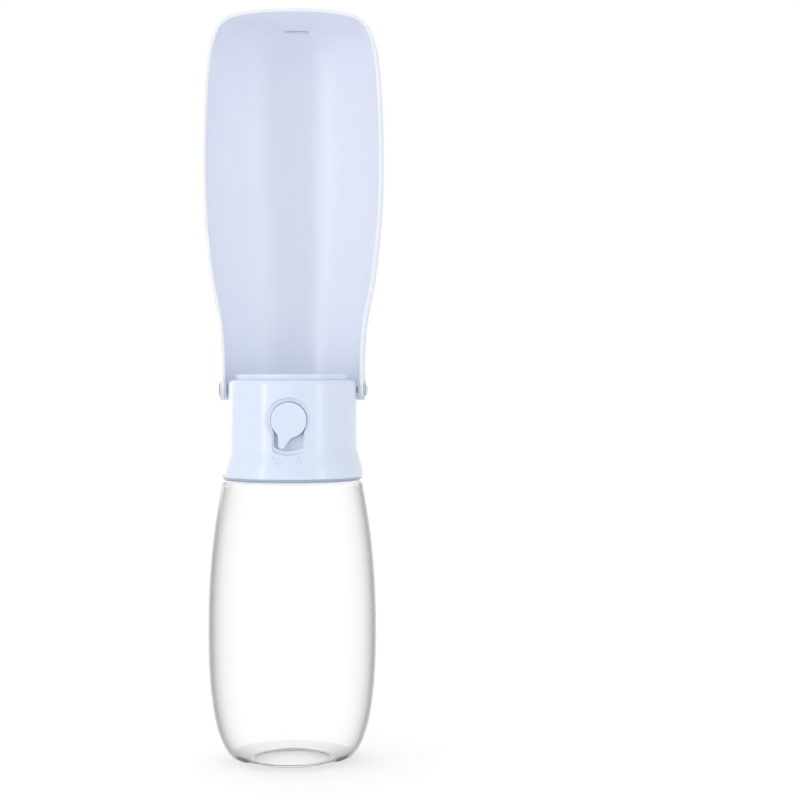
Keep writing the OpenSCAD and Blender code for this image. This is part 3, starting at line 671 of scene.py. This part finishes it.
def rear_rings(edge, outlines, hole_end):
    """Rings inside the casing, from the window's edge in to the hub's hole: each point lies on the turned
    inner surface or on the back of the recess, the pocket or the well, whichever is further in."""
    angle = np.arctan2(edge[:, 0], BUTTON_Z - edge[:, 2])
    far = np.hypot(edge[:, 0], BUTTON_Z - edge[:, 2])

    def inner_radius(z):
        return casing_radius(z) - HEAD_WALL

    backs = [RECESS_FLOOR + 1, POCKET_FLOOR + 1, hole_end]
    rings = [edge]
    near = outlines[0] + 0.5
    for share in np.linspace(0, 1, 7)[1:]:
        rings.append(front_point(inner_radius, far + (near - far) * share, angle))
    level = rings[-1][:, 1]
    for outline, back in zip(outlines[:3], backs):
        for inwards, share in ((0.12, 0.0), (0.0, 0.12), (0.0, 0.88), (-0.12, 1.0)):
            there = front_point(inner_radius, outline + inwards, angle)
            lower = np.maximum(level + (back - level) * share, np.maximum(there[:, 1], level))
            rings.append(front_point(inner_radius, outline + inwards, angle, lower))
        level = np.maximum(level, back)
    rings.append(front_point(inner_radius, np.full_like(angle, HUB_R + 0.5), angle, hole_end))
    rings.append(front_point(inner_radius, np.full_like(angle, HUB_R + 0.3), angle, hole_end))
    return np.stack(rings)


def mark_bead(path, ends_meet):
    """A low rounded bead on the casing's front along a path of (x, height) points: the half ellipse of
    points across the line is raised along the casing's normal, and its foot lies just under the
    surface."""
    path = np.asarray(path, float)
    if ends_meet:
        step = np.roll(path, -1, axis=0) - np.roll(path, 1, axis=0)
    else:
        step = np.gradient(path, axis=0)
    step /= np.linalg.norm(step, axis=1)[:, None]
    across = np.stack([-step[:, 1], step[:, 0]], axis=1)
    a = np.linspace(0, TURN, 12, endpoint=False)
    wide, high = np.cos(a) * MARK_LINE / 2, np.where(np.sin(a) > 0, np.sin(a) * MARK_PROUD, np.sin(a) * 0.1)
    flat = path[:, None, :] + across[:, None, :] * wide[None, :, None]
    x, z = flat[..., 0], flat[..., 1]
    out = casing_radius(z) + high[None, :]
    points = np.stack([x, -np.sqrt(out**2 - x**2), z], axis=-1)
    if ends_meet:
        points = np.concatenate([points, points[:1]])
        return points, grid_faces(len(points), points.shape[1], wrap=True)
    caps = [points[:1].mean(axis=1, keepdims=True) + np.zeros_like(points[:1]),
            points[-1:].mean(axis=1, keepdims=True) + np.zeros_like(points[:1])]
    points = np.concatenate([caps[0], points, caps[1]])
    return points, grid_faces(len(points), points.shape[1], wrap=True)


def padlock(x, swung):
    """A padlock mark: a rounded square line, where |x|^8 + |z|^8 is the half side to the eighth, and a
    half round shackle on two short legs that is swung aside when open."""
    z = HEAD_Z + MARK_UP
    half = MARK_SIDE / 2
    corner = 0.35
    a = np.linspace(0, TURN, 48, endpoint=False)
    square = np.stack([np.cos(a), np.sin(a)], axis=1)
    square = square / (np.abs(square) ** 8).sum(axis=1)[:, None] ** (1 / 8)
    body = np.array([x, z]) + square * half
    shackle_x = x - (1.9 if swung else 0)
    b = np.linspace(0, math.pi, 20)
    arc_r = half - corner
    shackle = np.stack([shackle_x + arc_r * np.cos(b), z + half + 0.35 + arc_r * 1.15 * np.sin(b)], axis=1)
    shackle = np.concatenate([[[shackle_x + arc_r, z + half]], shackle, [[shackle_x - arc_r, z + half]]])
    return [mark_bead(body, True), mark_bead(evenly(shackle, 0.15), False)]


def loop_ring():
    """The lanyard loop: a round edged ring turned about an axis along X, half sunk in the casing's back
    wall."""
    half = LOOP_T / 2
    section = closed(rounded([
        (LOOP_HOLE_R, 0, 0), (LOOP_HOLE_R, half, 0.7), (LOOP_R, half, 0.9), (LOOP_R, -half, 0.9),
        (LOOP_HOLE_R, -half, 0.7), (LOOP_HOLE_R, 0, 0)])[:-1])
    points, quads = revolve(section, 64)
    centre_y = HEAD_R + LOOP_HOLE_R + 0.3
    return about_x(points, 0, centre_y, HEAD_TOP - LOOP_DROP), quads


def make_head():
    """The casing with its two padlock marks and the lanyard loop, as one moulding."""
    parts, faces = make_casing()
    shell = np.concatenate(parts), np.concatenate(faces)
    marks = padlock(-MARK_X, True) + padlock(MARK_X, False)
    return piece("head_casing", [shell, *marks, loop_ring()], CASING, "head",
                 ["head_shell"])


# End plate


def make_end_plate():
    """The plate that closes the head: rings whose centre slides from the outlet's axis to the bottle's,
    so that one surface has the outlet's hole and the round rim. Each corner is (radius, height, rounding,
    outlet share)."""
    seal_low, seal_high = box_mm("outlet_seal")
    outlet_y = (seal_low[1] + seal_high[1]) / 2
    top = plate_high[2]
    corners = [
        (OUTLET_R, FLOOR_Z, 0, 1), (OUTLET_R, PLATE_TOP, 0.4, 1), (RIM_R - RIM_W, PLATE_TOP, 0.9, 0),
        (RIM_R - RIM_W, top, 0.45, 0), (RIM_R, top, 0.7, 0), (RIM_R, HEAD_TOP, 0.15, 0),
        (SKIRT_R, HEAD_TOP, 0.1, 0), (SKIRT_R, SKIRT_Z, 0.3, 0), (SKIRT_R - SKIRT_WALL, SKIRT_Z, 0.3, 0),
        (SKIRT_R - SKIRT_WALL, FLOOR_Z, 0.3, 0), (SOCKET_R + SOCKET_WALL, FLOOR_Z, 0.3, 1),
        (SOCKET_R + SOCKET_WALL, SOCKET_Z, 0.3, 1), (SOCKET_R, SOCKET_Z, 0.3, 1),
        (SOCKET_R, FLOOR_Z, 0.2, 1), (OUTLET_R, FLOOR_Z, 0, 1)]
    steps = 5
    profile = rounded([corner[:3] for corner in corners], steps)
    shares = np.concatenate([[share] * (steps if r > 0 else 1) for _, _, r, share in corners])
    points, quads = revolve(profile, 192)
    points[..., 1] += (shares * outlet_y)[:, None]
    return piece("top_plate", [(points, quads)], CASING, "head", ["end_plate"])


# Button


def button_outline(angle):
    """Distance from the button's axis to its edge: a circle joined softly to a pointer with straight
    sides and a round tip. The angle is from straight down, and the pointer is turned to the unlocked
    side."""
    away = (angle + UNLOCK_ANGLE + math.pi) % TURN - math.pi
    tip = POINTER_REACH - POINTER_TIP_R
    lean = (POINTER_ROOT_HALF - POINTER_TIP_R) / (tip - BUTTON_R + 1)
    start = POINTER_ROOT_HALF + lean * (BUTTON_R - 1)
    cos, sin = np.cos(away), np.abs(np.sin(away))
    line = start / (sin + lean * np.maximum(cos, 0) + 1e-6)
    inside = np.maximum(POINTER_TIP_R**2 - (tip * sin) ** 2, 0)
    tip_line = np.where(inside > 0, tip * cos + np.sqrt(inside), tip)
    pointer = np.where(cos > 0.3, np.minimum(line, np.maximum(tip_line, 0)), 0)
    return soft_max(np.full_like(pointer, BUTTON_R), pointer, 0.9)


def make_button():
    """The button: rings from the middle of its face out to the edge, over the rounded edge, back under
    the face and the thinner pointer, and along the hub to its bore."""
    angle = np.linspace(-math.pi, math.pi, 480, endpoint=False)
    edge = button_outline(angle)
    pointer_share = smooth_step((edge - BUTTON_R - 0.2) / 0.8)
    thick = BUTTON_T + (POINTER_T - BUTTON_T) * pointer_share

    def ring(distance, depth):
        return front_point(casing_radius, distance, angle, BUTTON_FACE + depth)

    zero = np.zeros_like(edge)
    rings = [ring(zero, zero)]
    for share in (0.25, 0.5, 0.75, 0.92):
        rings.append(ring((edge - FACE_ROUND) * share, zero))
    for a in np.linspace(0, math.pi / 2, 7):
        rings.append(ring(edge - FACE_ROUND * (1 - math.sin(a)), zero + FACE_ROUND * (1 - math.cos(a))))
    for a in np.linspace(0, math.pi / 2, 4):
        rings.append(ring(edge - BACK_ROUND * (1 - math.cos(a)), thick - BACK_ROUND * (1 - math.sin(a))))
    hub = np.full_like(edge, HUB_R)
    hub_length = HUB_END - BUTTON_FACE
    for share in (0.5, 0.15):
        rings.append(ring(hub + (edge - hub) * share, thick + (BUTTON_T - thick) * (1 - share)))
    bore = np.full_like(edge, HUB_BORE_R)
    for distance, depth in ((hub, BUTTON_T), (hub, hub_length - 0.3), (hub - 0.3, hub_length),
                            (bore + 0.2, hub_length), (bore, hub_length - 0.2), (bore, BUTTON_T + 0.3),
                            (zero, BUTTON_T + 0.3)):
        rings.append(ring(distance, zero + depth))
    points = np.stack(rings)
    faces = grid_faces(len(points), points.shape[1], wrap=True)
    return piece("button_face", [(points, faces)], CASING, "button", ["lock_button"])


# Hinge pins


def make_pin(side, node):
    """A hinge pin turned about X: a plain shank and a low domed head, a part of a ball, with a rounded
    rim."""
    low, high = box_mm(node)
    inner, outer = (high[0], low[0]) if side < 0 else (low[0], high[0])
    reach = abs(outer) - abs(inner)
    shank = reach - DOME_H
    ball = (DOME_R**2 + DOME_H**2) / (2 * DOME_H)
    a = np.linspace(0, math.asin((DOME_R - 0.25) / ball), 14)[::-1]
    dome = np.stack([ball * np.sin(a), reach - ball + ball * np.cos(a)], axis=1)
    under = rounded([(0, 0, 0), (PIN_R, 0, 0.3), (PIN_R, shank, 0.1), (DOME_R, shank, 0.12), (*dome[0], 0)])
    points, quads = revolve(np.concatenate([under[:-1], dome]), 96)
    points[..., 2] *= side
    name = "pin_left" if side < 0 else "pin_right"
    placed = about_x(points, inner, PIN_Y, PIN_Z)
    return piece(name, [(placed, quads)], CASING, "head", [node])


# Valve spring


def make_spring():
    """The valve's spring: a round wire carried along the helix (R cos u, y + rise u / end, R sin u), each
    ring of it set out by cos v from the helix radius R and by sin v along the axis, and closed to a point
    at both ends."""
    low, high = box_mm("valve_spring")
    seat_y = box_mm("spring_seat")[1][1]
    cap_y = high[1] + low[1] - seat_y
    wire_r = SPRING_WIRE / 2
    reach = (high[0] - low[0]) / 2 - wire_r
    first = seat_y + SPRING_GAP + wire_r
    rise = cap_y - SPRING_GAP - wire_r - first
    end = TURN * SPRING_COILS
    u = np.concatenate([[0], np.linspace(0, end, 32 * SPRING_COILS + 1), [end]])[:, None]
    v = np.linspace(0, TURN, 12, endpoint=False)[None, :]
    wire = np.full((len(u), 1), wire_r)
    wire[[0, -1]] = 0
    from_axis = reach + wire * np.cos(v)
    points = np.stack([from_axis * np.cos(u), first + rise * u / end + wire * np.sin(v),
                       (low[2] + high[2]) / 2 + from_axis * np.sin(u)], axis=-1)
    made = piece("spring_coil", [(points, grid_faces(len(u), v.size, wrap=True))], STEEL, "head",
                 ["valve_spring"])
    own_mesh(made)
    return made


# Trough


def trough_path():
    """Outer outline of the folded trough, from the hinge end along the bottle to the middle of the far
    end: a smooth curve through a few places that widens past the head and rounds in to the end wall."""
    grow = TROUGH_R - HINGE_R
    end = PIN_Z - TROUGH_LEN
    return catmull_rom([
        (HINGE_R, PIN_Z + EAR_REACH), (HINGE_R, PIN_Z - 16), (HINGE_R + 0.15 * grow, PIN_Z - 32),
        (HINGE_R + 0.55 * grow, PIN_Z - 50), (HINGE_R + 0.91 * grow, PIN_Z - 78), (TROUGH_R, PIN_Z - 104),
        (TROUGH_R - 0.5, end + 46), (TROUGH_R - 1.7, end + 28), (TROUGH_R - 3.3, end + 17),
        (TROUGH_R - 6, end + 9.2), (TROUGH_R - 9.6, end + 4.9), (TROUGH_R - 15.5, end + 2.3),
        (TROUGH_R - 27, end + 0.6), (0, end)], 14)


def rim_plane(z):
    """How far back the rim lies at a height: the plain rim below the hinge, and an arc about the pin
    above it."""
    rise = np.clip(z - PIN_Z, 0, EAR_REACH)
    return PIN_Y + np.sqrt((RIM_BACK - PIN_Y) ** 2 - rise**2)


def swung_sheet(path, turn_in, across):
    """The surface that a path makes when it swings about Z from one rim to the other. Beside the bottle a
    point (r, z) goes to (r sin a, -r cos a, z), with a from the rim on one side to the rim on the other.
    In the end wall the rows shrink towards the middle of the rim instead, and the height is read from the
    path."""
    r, z = path[:, 0], path[:, 1]
    beside = np.arange(len(r)) <= turn_in
    plane = rim_plane(z) - EDGE_R
    wide = np.where(beside, r, r[turn_in])
    most = np.arccos(np.clip(-plane / wide, -1, 1))
    a = most[:, None] * across[None, :]
    x, y = wide[:, None] * np.sin(a), -wide[:, None] * np.cos(a)
    shrink = np.where(beside, 1, r / r[turn_in])[:, None]
    x, y = x * shrink, plane[:, None] + (y - plane[:, None]) * shrink
    order = np.argsort(r[turn_in:])
    read = np.interp(np.hypot(x, y), r[turn_in:][order], z[turn_in:][order])
    height = np.where(beside[:, None], z[:, None], read)
    return np.stack([x, y, height], axis=-1)


def make_trough():
    """The trough: an outer and an inner sheet, a rounded rim between them and a closed hinge end, drawn
    folded and then turned half round about the pins."""
    path = evenly(trough_path(), 1.2)
    top = PIN_Z + EAR_REACH
    chamfer = 1.2 * np.clip((path[:, 1] - (top - 2.4)) / 2.4, 0, 1)
    outer = path - np.stack([chamfer, np.zeros(len(path))], axis=1)
    inner = offset(path, -TROUGH_WALL)
    inner[0, 1], inner[-1, 0] = top, 0
    inner[:, 0] = np.maximum(inner[:, 0], 0)
    turn_in = int(np.argmax((path[:, 0] < TROUGH_R - 8) & (path[:, 1] < PIN_Z - TROUGH_LEN / 2)))
    across = np.sin(np.linspace(-1, 1, 121) * math.pi / 2)
    across = np.sign(across) * (0.35 * np.abs(across) + 0.65 * np.abs(np.linspace(-1, 1, 121)))
    outside = swung_sheet(outer, turn_in, across)
    inside = swung_sheet(inner, turn_in, across)
    wall = np.linalg.norm(outside[:, -1] - inside[:, -1], axis=1)[:, None]
    share = np.linspace(0, 1, 13)[None, 1:-1]
    from_edge = np.minimum(share, 1 - share) * wall
    round_r = np.minimum(EDGE_R, wall * 0.45)
    rise = np.sqrt(np.maximum(round_r**2 - np.maximum(round_r - from_edge, 0) ** 2, 0))

    def rim(a, b):
        strip = a[:, None, :] + (b - a)[:, None, :] * share[..., None]
        strip[..., 1] += rise
        return strip

    rows = np.concatenate([
        outside, rim(outside[:, -1], inside[:, -1]), inside[:, ::-1],
        rim(inside[:, 0], outside[:, 0])], axis=1)
    middle = (outside[0] + inside[0]) / 2
    middle[:, 2] += 0.12
    strip = (len(across) + 1, share.shape[1])
    end_row = np.concatenate([middle, np.repeat(middle[-1:], strip[1], 0), middle[::-1],
                              np.repeat(middle[:1], strip[1], 0)])
    rows = np.concatenate([end_row[None], rows])
    shell = unfold(rows), grid_faces(len(rows), rows.shape[1], wrap=True)
    pads = [ear_pad(side) for side in (-1, 1)]
    return piece("trough_shell", [shell, *pads, snap_rib(inner)], TROUGH, "trough",
                 ["trough"], sharp=50)


def unfold(points):
    """Points of the folded trough turned half round about the hinge pins."""
    return np.stack([points[..., 0], 2 * PIN_Y - points[..., 1], 2 * PIN_Z - points[..., 2]], axis=-1)


def ear_pad(side):
    """The thick round pad inside an ear, turned about the hinge axis, with its rounded inner edge and the
    bore."""
    thick = HINGE_R - 0.3 - EAR_IN
    edge = EAR_REACH - 0.1
    section = closed(rounded([
        (EAR_BORE_R, thick / 2, 0), (EAR_BORE_R, 0, 0.3), (edge, 0, 0.5), (edge, thick, 0.2),
        (EAR_BORE_R, thick, 0.1), (EAR_BORE_R, thick / 2, 0)])[:-1])
    points, quads = revolve(section, 96)
    points[..., 2] *= side
    return about_x(points, side * EAR_IN, PIN_Y, PIN_Z), quads


def snap_rib(inner):
    """The short low rib inside the far end: a round bar with ball ends, half sunk in the wall."""
    near_end = inner[:, 1] < PIN_Z - TROUGH_LEN + 12
    place = inner[near_end][::-1]
    out = TROUGH_R - 14
    z = np.interp(out, place[:, 0], place[:, 1])
    half = RIB_LEN / 2 - RIB_R
    a = np.linspace(0, math.pi / 2, 7)
    left = np.stack([RIB_R * np.sin(a), -half - RIB_R * np.cos(a)], axis=1)
    profile = np.concatenate([left, left[::-1] * [1, -1]])
    points, quads = revolve(profile, 32)
    return unfold(about_x(points, 0, -out, z - 0.2)), quads


make_bottle()
make_head()
make_end_plate()
make_button()
make_pin(-1, "hinge_pin_left")
make_pin(1, "hinge_pin_right")
make_spring()
make_trough()

# Finishes of the CAD nodes that stay
# The thread collar takes the painted shade of the band under the head's edge.
NODE_FINISH = {
    "thread_collar": COLLAR_PAINTED_SHADE, "valve_body": INNER, "seal_retainer": INNER, "valve_stem": INNER,
    "valve_end_cap": INNER, "neck_gasket": SILICONE, "end_plate_seal": SILICONE, "inlet_seal": SILICONE,
    "outlet_seal": SILICONE, "stem_seal": SILICONE, "end_cap_seal": SILICONE, "valve_stopper": SILICONE,
    "spring_seat": STEEL, "stopper_screw": STEEL, "valve_screws": STEEL}
for node_name, finish in NODE_FINISH.items():
    node_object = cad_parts[node_name]
    node_object.data.materials.clear()
    node_object.data.materials.append(finish)


# Stage, light and camera


def seen_directly(nodes, links):
    """One for light that the camera, a reflection or a refraction looks at, and zero for light that only
    falls."""
    path = nodes.new("ShaderNodeLightPath")
    total = path.outputs["Is Camera Ray"]
    for name in ("Is Glossy Ray", "Is Transmission Ray"):
        total = worked_out(nodes, links, "ADD", [total, path.outputs[name]], clamp=True)
    return total


def make_world(ambient, tilt, front_level):
    """A white surround: full white where it is seen, and where it lights the ambient level, brighter
    towards the left by the share tilt. It is darker in gloss that looks back towards the camera, as the
    room behind it is."""
    world = bpy.data.worlds.new("surround")
    bpy.context.scene.world = world
    world.use_nodes = True
    nodes, links = world.node_tree.nodes, world.node_tree.links
    back = nodes["Background"]
    back.inputs["Color"].default_value = (1, 1, 1, 1)
    where = nodes.new("ShaderNodeTexCoord")
    way = nodes.new("ShaderNodeSeparateXYZ")
    links.new(where.outputs["Generated"], way.inputs[0])
    falls = worked_out(nodes, links, "MULTIPLY_ADD", [way.outputs["X"], -ambient * tilt, ambient])
    level = nodes.new("ShaderNodeMapRange")
    level.inputs["To Max"].default_value = 1.0
    links.new(falls, level.inputs["To Min"])
    links.new(seen_directly(nodes, links), level.inputs["Value"])
    front = nodes.new("ShaderNodeMapRange")
    front.interpolation_type = "SMOOTHSTEP"
    front.inputs["From Min"].default_value = -0.78
    front.inputs["From Max"].default_value = -0.97
    front.inputs["To Max"].default_value = 1 - front_level
    links.new(way.outputs["Y"], front.inputs["Value"])
    path = nodes.new("ShaderNodeLightPath")
    dim = worked_out(nodes, links, "MULTIPLY", [front.outputs["Result"], path.outputs["Is Glossy Ray"]])
    strength = worked_out(nodes, links, "MULTIPLY_ADD", [dim, -1, level.outputs["Result"]])
    links.new(strength, back.inputs["Strength"])


def make_floor(size, glow, through):
    """A pale floor that keeps soft shadows near the object and turns to the surround's white further out.
    Seen through the clear body it is white by the share through."""
    half = size / 2
    mesh = bpy.data.meshes.new("floor")
    corners = [(-half, -half, 0), (half, -half, 0), (half, half, 0), (-half, half, 0)]
    mesh.from_pydata(corners, [], [(0, 1, 2, 3)])
    floor = bpy.data.objects.new("floor", mesh)
    bpy.context.scene.collection.objects.link(floor)
    made, nodes, links, shader, out = new_material("floor_paper")
    shader.inputs["Base Color"].default_value = srgb(250, 250, 251)
    shader.inputs["Roughness"].default_value = 0.9
    shader.inputs["Specular IOR Level"].default_value = 0.0
    seen = seen_directly(nodes, links)
    light = nodes.new("ShaderNodeEmission")
    links.new(worked_out(nodes, links, "MULTIPLY", [seen, glow]), light.inputs["Strength"])
    near = nodes.new("ShaderNodeAddShader")
    links.new(shader.outputs[0], near.inputs[0])
    links.new(light.outputs[0], near.inputs[1])
    where = nodes.new("ShaderNodeTexCoord")
    length = nodes.new("ShaderNodeVectorMath")
    length.operation = "LENGTH"
    links.new(where.outputs["Object"], length.inputs[0])
    far = nodes.new("ShaderNodeMapRange")
    far.interpolation_type = "SMOOTHSTEP"
    far.inputs["From Min"].default_value = 0.08
    far.inputs["From Max"].default_value = 0.3
    links.new(length.outputs["Value"], far.inputs["Value"])
    far_seen = worked_out(nodes, links, "MULTIPLY", [far.outputs["Result"], seen])
    path = nodes.new("ShaderNodeLightPath")
    white_share = worked_out(nodes, links, "MULTIPLY_ADD",
                             [path.outputs["Is Transmission Ray"], through, far_seen], clamp=True)
    white = nodes.new("ShaderNodeEmission")
    whole = nodes.new("ShaderNodeMixShader")
    links.new(white_share, whole.inputs["Fac"])
    links.new(near.outputs[0], whole.inputs[1])
    links.new(white.outputs[0], whole.inputs[2])
    links.new(whole.outputs[0], out.inputs["Surface"])
    mesh.materials.append(made)


def make_lamp(name, azimuth, elevation, distance, width, height, share):
    """An area lamp round the object: azimuth from the front towards +X, aimed at the object's middle.
    share is the part of a plain white surround's light that it adds on a surface that faces it."""
    data = bpy.data.lights.new(name, "AREA")
    data.shape = "RECTANGLE"
    data.size, data.size_y = width, height
    data.energy = share * math.pi**2 * distance**2
    lamp = bpy.data.objects.new(name, data)
    bpy.context.scene.collection.objects.link(lamp)
    a, e = math.radians(azimuth), math.radians(elevation)
    away = Vector((math.sin(a) * math.cos(e), -math.cos(a) * math.cos(e), math.sin(e)))
    middle = Vector((0, 0, 0.17))
    lamp.location = middle + away * distance
    lamp.rotation_euler = away.to_track_quat("Z", "Y").to_euler()


def make_camera():
    """A level camera at the height of the head's rim, to the object's right, looking straight to the
    back, as wide as the photograph's 800 pixels at the scale that the object is seen at."""
    frame_px = 800
    mm_per_px = 0.46
    away = 0.82
    axis_px, eye_px = 292.5, 374.0
    data = bpy.data.cameras.new("camera")
    data.sensor_width = 36
    data.lens = data.sensor_width * away / (frame_px * mm_per_px * MM)
    data.shift_y = (eye_px - frame_px / 2) / frame_px
    data.clip_start, data.clip_end = 0.01, 20
    camera = bpy.data.objects.new("camera", data)
    bpy.context.scene.collection.objects.link(camera)
    camera.location = ((frame_px / 2 - axis_px) * mm_per_px * MM, -away, plate_high[2] * MM)
    camera.rotation_euler = (math.pi / 2, 0, 0)
    bpy.context.scene.camera = camera


make_world(0.78, 0.17, 0.1)
make_floor(6.0, 0.165, 0.8)
make_lamp("key_strip", -47, 6, 1.0, 0.07, 0.7, 0.13)
make_lamp("front_soft", -15, 6, 1.4, 1.0, 0.3, 0.055)
make_lamp("back_left", -145, 14, 1.3, 0.6, 0.8, 0.09)
make_lamp("back_top", 178, 52, 1.3, 0.8, 0.6, 0.07)
make_lamp("spot_right", 47, 38, 1.1, 0.16, 0.16, 0.03)
make_lamp("strip_right", 52, 8, 1.1, 0.16, 0.6, 0.07)
make_camera()
bpy.context.scene.view_settings.view_transform = "Standard"
